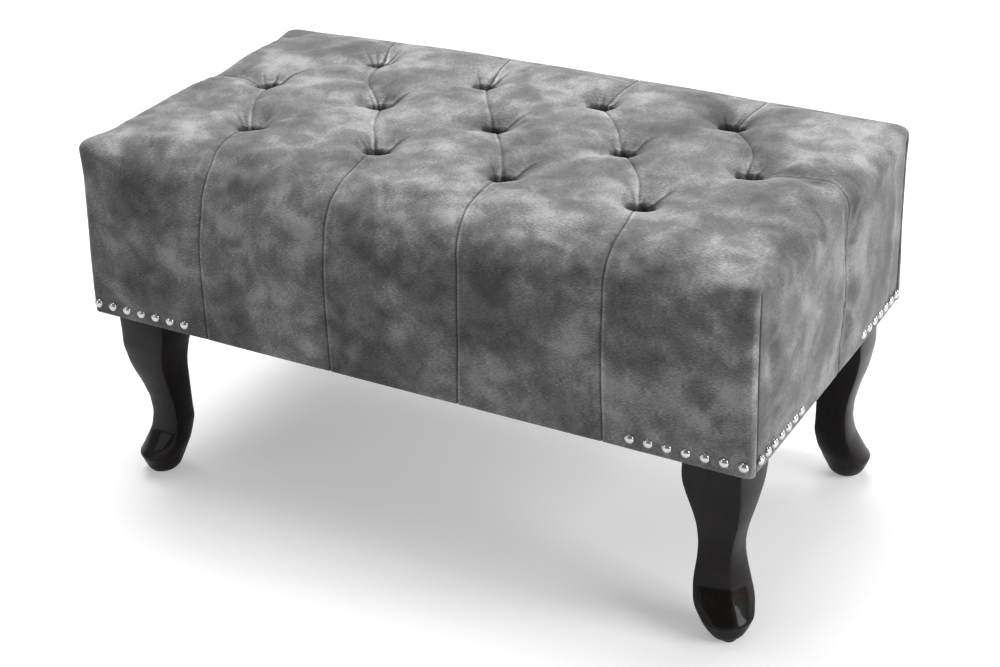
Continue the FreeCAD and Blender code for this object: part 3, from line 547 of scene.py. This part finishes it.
# The hem turns under the frame.
lap = [skin]
hem_ring = rings[-1]
count = len(skin)
strips = []
for inset, z in ((0.5, 219.95), (2.0, 220.0), (10.0, 220.0), (26.0, 220.0)):
    x, y = skin[hem_ring, 0], skin[hem_ring, 1]
    drawn = np.column_stack([x * (1 - inset / HALF_X), y * (1 - inset / HALF_Y), np.full(len(x), z)])
    lap.append(drawn)
    new_ring = count + np.arange(len(hem_ring))
    last = strips[-1][1] if strips else hem_ring
    strips.append((last, new_ring))
    count += len(hem_ring)
lap_faces = [np.stack([upper, lower, np.roll(lower, -1), np.roll(upper, -1)], axis=1)
             for upper, lower in strips]
cover_points = np.vstack(lap) * 0.001
cover_faces = np.vstack([faces] + lap_faces)
cover = mesh_piece("velvet_cover_skin", cover_points, cover_faces)
extra = len(cover_points) - len(plan)
# The painted shade and painted highlights of the folds, gathers, tufts and corner folds, per point.
painted_fold_light = cover.data.attributes.new("painted_fold_light", "FLOAT", "POINT")
painted_fold_light.data.foreach_set("value", np.concatenate([painted_light, np.zeros(extra)]).astype(np.float32))
# Where each point lies on the flat cloth, in metres: over the edges it runs on without a break.
over_x = np.abs(plan[:, 0]) > HALF_X - 1e-6
away = np.column_stack([np.sign(plan[:, 0]) * over_x, np.sign(plan[:, 1]) * ~over_x])
flat = plan + away * down[:, None]
flat = np.vstack([flat, np.tile(flat[hem_ring], (len(strips), 1))]) * 0.001
flat = np.column_stack([flat, np.zeros(len(flat))]).astype(np.float32)
flat_place = cover.data.attributes.new("flat_place", "FLOAT_VECTOR", "POINT")
flat_place.data.foreach_set("vector", flat.ravel())
solid = cover.modifiers.new("cloth_thickness", "SOLIDIFY")
solid.thickness = 0.0012
solid.offset = -1  # inward


def reckon(tree, operation, *values):
    """The outcome of a maths node over values or sockets."""
    return add(tree, "ShaderNodeMath", dict(enumerate(values)), operation=operation).outputs[0]


# Crushed velvet: clouds and patches where the pile lies this way or that, and fine brushed threads.
# The folds' painted shade and painted highlights are laid on it, and painted shade darkens cloth
# that hangs against cloth that faces up.
velvet, tree, shader = finish_of("crushed_velvet")
place = place_in(tree)
cloth = add(tree, "ShaderNodeAttribute", attribute_name="flat_place").outputs["Vector"]
brushed = add(tree, "ShaderNodeMapping", {"Vector": cloth, "Scale": (260.0, 800.0, 1.0)})
threads = noise(tree, brushed.outputs["Vector"], 1.0, 3.0)
mixed = reckon(tree, "MULTIPLY", noise(tree, place, 10.0, 2.0, distortion=0.5), 0.37)
mixed = reckon(tree, "MULTIPLY_ADD", noise(tree, place, 36.0, 4.0, distortion=0.4), 0.33, mixed)
mixed = reckon(tree, "MULTIPLY_ADD", threads, 0.3, mixed)
pile = ramp(tree, mixed, (0.39, "#454546"), (0.5, "#6e6e6f"), (0.61, "#a3a3a4"))
# The painted shade and painted highlights of the folds, gathers and tufts, from the cover's points.
folded = add(tree, "ShaderNodeAttribute", attribute_name="painted_fold_light").outputs["Fac"]
normal = add(tree, "ShaderNodeNewGeometry").outputs["Normal"]
facing = add(tree, "ShaderNodeSeparateXYZ", {"Vector": normal}).outputs["Z"]
# Painted shade: cloth that hangs is darkened to 0.74 of cloth that faces up.
painted_side_shade = add(tree, "ShaderNodeMapRange", {"Value": facing, "From Min": 0.1, "From Max": 0.9, "To Min": 0.74})
tone = reckon(tree, "MULTIPLY_ADD", folded, 0.55, 1.0)
tone = reckon(tree, "MAXIMUM", tone, 0.2)
tone = reckon(tree, "MULTIPLY", tone, painted_side_shade.outputs[0])
toned = add(tree, "ShaderNodeVectorMath", {0: pile, "Scale": tone}, operation="SCALE")
tree.links.new(toned.outputs[0], shader.inputs["Base Color"])
emboss(tree, shader, threads, 0.25, 0.0006)
shader.inputs["Roughness"].default_value = 0.8
shader.inputs["Sheen Weight"].default_value = 0.5
shader.inputs["Sheen Roughness"].default_value = 0.35
cover.data.materials.append(velvet)
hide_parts("velvet_cover")
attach(cover, "root")

# Buttons: domes covered in the same velvet, one at the bottom of each tuft. The stem under each
# goes through the cover to the twine.


def lathe(profile, sides):
    """Rings of a turned piece, from (radius, height) pairs; a zero radius still has its ring."""
    turn = 2 * math.pi * np.arange(sides) / sides
    rings = [np.column_stack([radius * np.cos(turn), radius * np.sin(turn), np.full(sides, z)])
             for radius, z in profile]
    return np.array(rings)


def closed_rings(rings):
    """Points and faces of a closed piece: walls from ring to ring, and a flat face on each end."""
    count, sides = rings.shape[:2]
    number = np.arange(count * sides).reshape(count, sides)
    after = np.roll(number, -1, axis=1)
    walls = np.stack([number[:-1], after[:-1], after[1:], number[1:]], axis=-1).reshape(-1, 4).tolist()
    return rings.reshape(-1, 3), walls + [number[0, ::-1].tolist(), number[-1].tolist()]


def copies_of(points, faces, places, turns=None):
    """Many copies of one piece as one mesh: each copy turned by its matrix, then moved to its place."""
    all_points, all_faces = [], []
    for number, place in enumerate(places):
        turned = points if turns is None else points @ turns[number].T
        all_faces += [[corner + number * len(points) for corner in face] for face in faces]
        all_points.append(turned + place)
    return np.vstack(all_points) * 0.001, all_faces


def shown_for(piece, finish, slot_name, *replaced):
    """Gives a modelled piece its finish, and puts it in the place of CAD nodes."""
    piece.data.materials.append(finish)
    piece.data.set_sharp_from_angle(angle=math.radians(35))
    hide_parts(*replaced)
    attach(piece, "root")


button = closed_rings(lathe([(1.5, 388), (1.5, 394), (9.6, 394), (10.7, 395.2), (11, 396.6), (10.5, 398.2),
                             (9, 399.6), (6.5, 400.5), (3.5, 400.9), (0.6, 401)], 28))
places = np.column_stack([tufts, np.zeros(TUFTS)])
buttons = mesh_piece("velvet_buttons", *copies_of(*button, places))
shown_for(buttons, velvet, "velvet", "tuft_buttons")

# Decorative nails: domes of polished nickel, 11 across, on a pin driven through the cover into the
# frame. Seven stand in from each corner along each side, 12 above the hem.
nickel, tree, shader = finish_of("polished_nickel")
tint(tree, shader, noise(tree, place_in(tree), 300.0, 2.0), (0.3, "#c9c9ca"), (0.7, "#dededf"))
shader.inputs["Metallic"].default_value = 1.0
shader.inputs["Roughness"].default_value = 0.14
dome_rise = np.linspace(0, math.pi / 2, 7)[:-1]
dome = [(5.5 * math.cos(t), 3.4 * math.sin(t)) for t in dome_rise]
nail = closed_rings(lathe([(0.9, -16), (0.9, 0)] + dome + [(0.3, 3.4)], 20))
for side, bearing in (("front", 270), ("back", 90), ("left", 180), ("right", 0)):
    long_side = side in ("front", "back")
    first, pitch, half = (9, 20, HALF_X) if long_side else (20, 17, HALF_Y)
    out = (HALF_Y if long_side else HALF_X) + 0.3
    spin = Matrix.Rotation(math.radians(bearing), 3, "Z")
    turn = np.array(spin @ Matrix.Rotation(math.radians(90), 3, "Y"))
    places = [np.array(spin) @ [out, sign * (half - first - pitch * step), 0] + [0, 0, 232]
              for step in range(7) for sign in (-1, 1)]
    row = mesh_piece("nail_domes_" + side, *copies_of(*nail, places, [turn] * len(places)))
    shown_for(row, nickel, "nickel", "nails_" + side)

# Legs: cabriole, sawn square from two sides and rounded over, in dark espresso lacquer over mahogany.
# Red-brown shows through in streaks where the lacquer is thin.
# Read off the front right leg: how far it reaches outward and inward along the diagonal, and its
# width across the diagonal, each with its height above the floor.
OUTWARD = [(219.2, 41.5), (190, 40.9), (170, 40.9), (160, 38.9), (150, 36.9), (140, 33.9), (130, 29.9),
           (120, 25.9), (110, 22.9), (100, 19.9), (90, 18.9), (80, 18.4), (70, 19.9), (60, 22.4), (50, 26.9),
           (40, 31.9), (30, 37.4), (26.5, 39.6), (24.5, 39.6), (22, 38.4), (17, 36.6), (8, 32.9), (3, 30)]
INWARD = [(219.2, 42.1), (190, 40.1), (160, 32.1), (144, 29.1), (112, 28.1), (80, 28.1), (63, 28.1),
          (55, 26.1), (48, 24.1), (40, 21.1), (32, 17.1), (25, 14.1), (17, 10.1), (9, 6.1), (3, 1)]
ACROSS = [(219.2, 45), (188, 45), (175, 42), (162, 38), (149, 34), (136, 30.5), (123, 28), (110, 26.4),
          (97, 26.2), (84, 27.4), (71, 29.6), (54, 32), (40, 32.6), (27, 29), (15, 23.5), (5, 17), (3, 16)]


def smooth_through(stations, levels):
    """A curve through (height, reach) stations.

    Between two it is a cubic, whose slope at each is a mean of the slopes on its two sides.
    """
    z, reach = np.array(stations[::-1], dtype=float).T
    slope = np.gradient(reach, z)
    cell = np.clip(np.searchsorted(z, levels) - 1, 0, len(z) - 2)
    wide = z[cell + 1] - z[cell]
    t = (levels - z[cell]) / wide
    rise = reach[cell] * (2 * t ** 3 - 3 * t ** 2 + 1) + reach[cell + 1] * (3 * t ** 2 - 2 * t ** 3)
    return rise + wide * (slope[cell] * (t ** 3 - 2 * t ** 2 + t) + slope[cell + 1] * (t ** 3 - t ** 2))


def leg_rings(sides=48):
    """Level sections of a leg about its axis, outward along +x and +y.

    Each is |d/a|^e + |t/c|^e = 1, with d along the diagonal and t across it: at e = 1 a square stood
    on its corner, and at e a little over 1 the same with soft ridges and slightly full sides.
    """
    turn = 2 * math.pi * np.arange(sides) / sides
    root = math.sqrt(2)
    levels = np.concatenate([[219.2, 218.9], np.linspace(217, 29, 64), np.linspace(27.5, 8, 16),
                             [6, 4.6, 3.6, 3.0]])
    outward, inward, across = (smooth_through(stations, levels) for stations in (OUTWARD, INWARD, ACROSS))
    ease_in = np.concatenate([[0.98, 0.995], np.ones(80), [0.98, 0.95, 0.9, 0.84]])
    rings = []
    for z, far, near, half, share in zip(levels, outward, inward, across, ease_in):
        power = 2 / np.interp(z, [0, 25, 60, 219], [2.2, 2.0, 1.3, 1.15])
        along = np.sign(np.cos(turn)) * np.abs(np.cos(turn)) ** power * (far + near) / 2 * share
        along += (far - near) / 2
        aside = np.sign(np.sin(turn)) * np.abs(np.sin(turn)) ** power * half * share
        rings.append(np.column_stack([(along - aside) / root, (along + aside) / root, np.full(sides, z)]))
    # The leg closes on the hole for its bolt on top and on the one for its glide's pin below.
    hole = np.column_stack([np.cos(turn) - np.sin(turn), np.cos(turn) + np.sin(turn)]) / root
    bolt = [np.column_stack([4.1 * hole, np.full(sides, z)]) for z in (184, 219.2)]
    pin = [np.column_stack([14 + 1.9 * hole, np.full(sides, z)]) for z in (3, 15.2)]
    return np.array((bolt + rings + pin)[::-1])


lacquer, tree, shader = finish_of("espresso_lacquer")
place = place_in(tree)
grain = add(tree, "ShaderNodeMapping", {"Vector": place, "Scale": (300.0, 300.0, 14.0)})
figure = noise(tree, grain.outputs["Vector"], 1.0, 4.0)
mixed = reckon(tree, "MULTIPLY", figure, noise(tree, place, 30.0, 2.0))
tint(tree, shader, mixed, (0.15, "#060303"), (0.32, "#110807"), (0.5, "#22100b"))
shader.inputs["Roughness"].default_value = 0.4
shader.inputs["Specular IOR Level"].default_value = 0.1
shader.inputs["Coat Weight"].default_value = 0.26
shader.inputs["Coat Roughness"].default_value = 0.06
LEG_X, LEG_Y = 352, 162  # where the axis of a leg stands
for corner, flip_x, flip_y in (("front_right", 1, -1), ("front_left", -1, -1), ("back_right", 1, 1),
                               ("back_left", -1, 1)):
    points, leg_faces = closed_rings(leg_rings())
    points = (points * [flip_x, flip_y, 1] + [flip_x * LEG_X, flip_y * LEG_Y, 0]) * 0.001
    if flip_x * flip_y < 0:
        leg_faces = [face[::-1] for face in leg_faces]
    leg = mesh_piece("lacquered_leg_" + corner, points, leg_faces)
    shown_for(leg, lacquer, "lacquered_wood", "leg_" + corner)

# Floor glides: low discs of black plastic under the toes, each on a pin driven into its leg.
# Moulded plastic is satin, with fine scuffs.
plastic, tree, shader = finish_of("glide_plastic")
tint(tree, shader, noise(tree, place_in(tree), 700.0, 2.0), (0.3, "#17150f"), (0.7, "#24211c"))
shader.inputs["Roughness"].default_value = 0.45
paint(["leg_glides"], plastic)

# Dust cover: thin black spunbonded cloth, stapled under the frame to close it.
# Its fibres are pressed together in small dots.
black_cloth, tree, shader = finish_of("black_spunbond")
dots = add(tree, "ShaderNodeTexVoronoi", {"Vector": place_in(tree), "Scale": 600.0}).outputs["Distance"]
tint(tree, shader, dots, (0.1, "#0b0b0c"), (0.6, "#1b1b1c"))
emboss(tree, shader, dots, 0.4, 0.0003)
shader.inputs["Roughness"].default_value = 0.95
paint(["dust_cover"], black_cloth)

# Floor: plain white paper. What the camera sees of it is lifted a little, so that it is white past the
# soft shadow, as in a studio.
bpy.ops.mesh.primitive_plane_add(size=12.0, location=(0, 0, 0))
floor = bpy.context.object
floor.name = "floor"
paper, tree, shader = finish_of("white_paper")
shader.inputs["Base Color"].default_value = colour("#f4f4f4")
shader.inputs["Roughness"].default_value = 0.9
seen = add(tree, "ShaderNodeLightPath").outputs["Is Camera Ray"]
shader.inputs["Emission Color"].default_value = colour("#ffffff")
tree.links.new(reckon(tree, "MULTIPLY", seen, 0.3), shader.inputs["Emission Strength"])
floor.data.materials.append(paper)

# Light: a soft white studio. A wide lamp hangs overhead, another lights the right end, and two weak
# ones fill in the front and the back.
world = bpy.data.worlds.new("studio")
bpy.context.scene.world = world
world.use_nodes = True
background = world.node_tree.nodes["Background"]
background.inputs["Color"].default_value = colour("#ffffff")
background.inputs["Strength"].default_value = 0.2


def softbox(name, place, size, power):
    """A square area lamp at a place, turned to the middle of the bench."""
    lamp = bpy.data.lights.new(name, "AREA")
    lamp.size = size
    lamp.energy = power
    holder = bpy.data.objects.new(name, lamp)
    holder.location = place
    toward = Vector((0, 0, 0.3)) - Vector(place)
    holder.rotation_euler = toward.to_track_quat("-Z", "Y").to_euler()
    bpy.context.scene.collection.objects.link(holder)


softbox("key", (-0.4, 0.5, 2.5), 2.0, 74)
softbox("right_fill", (2.6, -0.1, 1.2), 1.4, 46)
softbox("front_fill", (-2.0, -2.6, 1.1), 1.6, 9)
softbox("back_fill", (1.5, 2.2, 0.7), 1.2, 12)

# Camera: fitted to the corners, seams and feet in the photograph. It looks down on the front and the
# right end, from a little over two metres away.
AZIMUTH, ELEVATION, ROLL = 0.532, 0.497, -0.0405
back = Vector((math.sin(AZIMUTH) * math.cos(ELEVATION), -math.cos(AZIMUTH) * math.cos(ELEVATION),
               math.sin(ELEVATION)))
right = Vector((math.cos(AZIMUTH), math.sin(AZIMUTH), 0))
up = back.cross(right)
right, up = (math.cos(ROLL) * right + math.sin(ROLL) * up, math.cos(ROLL) * up - math.sin(ROLL) * right)
lens = bpy.data.cameras.new("camera")
lens.lens = 70.68
lens.sensor_width = 36.0
camera = bpy.data.objects.new("camera", lens)
turn = Matrix((right, up, back)).transposed().to_4x4()
camera.matrix_world = Matrix.Translation((0.9927, -1.6762, 1.2382)) @ turn
bpy.context.scene.collection.objects.link(camera)
bpy.context.scene.camera = camera
bpy.context.scene.view_settings.view_transform = "Standard"
